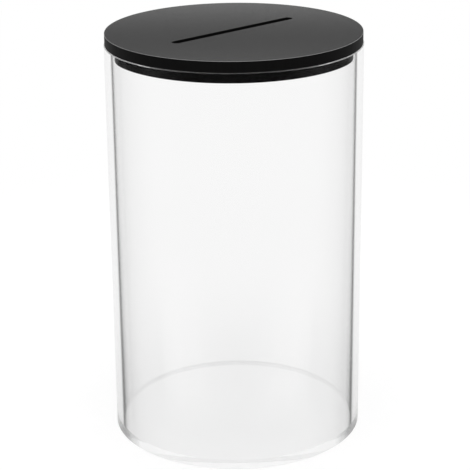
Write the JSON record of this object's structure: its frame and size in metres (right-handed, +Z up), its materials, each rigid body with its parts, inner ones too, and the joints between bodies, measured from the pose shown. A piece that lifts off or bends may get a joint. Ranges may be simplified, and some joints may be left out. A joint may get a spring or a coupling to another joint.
{
  "type": "money box",
  "caption": "Clear cylindrical money box with a black drop-in lid, which has a long coin slot and lifts off to empty the box.",
  "frame": {"origin": "centre of the underside of the base, on the axis of the tube", "axes": "+Z up along the axis of the tube, +X along the coin slot"},
  "size_m": [0.1, 0.1, 0.1624],
  "materials": {
    "clear_acrylic": "polished clear",
    "black_acrylic": "polished black"
  },
  "bodies": {
    "container": {"tube": "clear_acrylic", "base_disc": "clear_acrylic"},
    "lid": {"lid_top": "black_acrylic", "lid_plug": "black_acrylic"}
  },
  "joints": [
    {"name": "lid_lift", "type": "slide", "parent": "container", "child": "lid", "axis": [0, 0, 1], "range_m": [0, 0.08]}
  ]
}
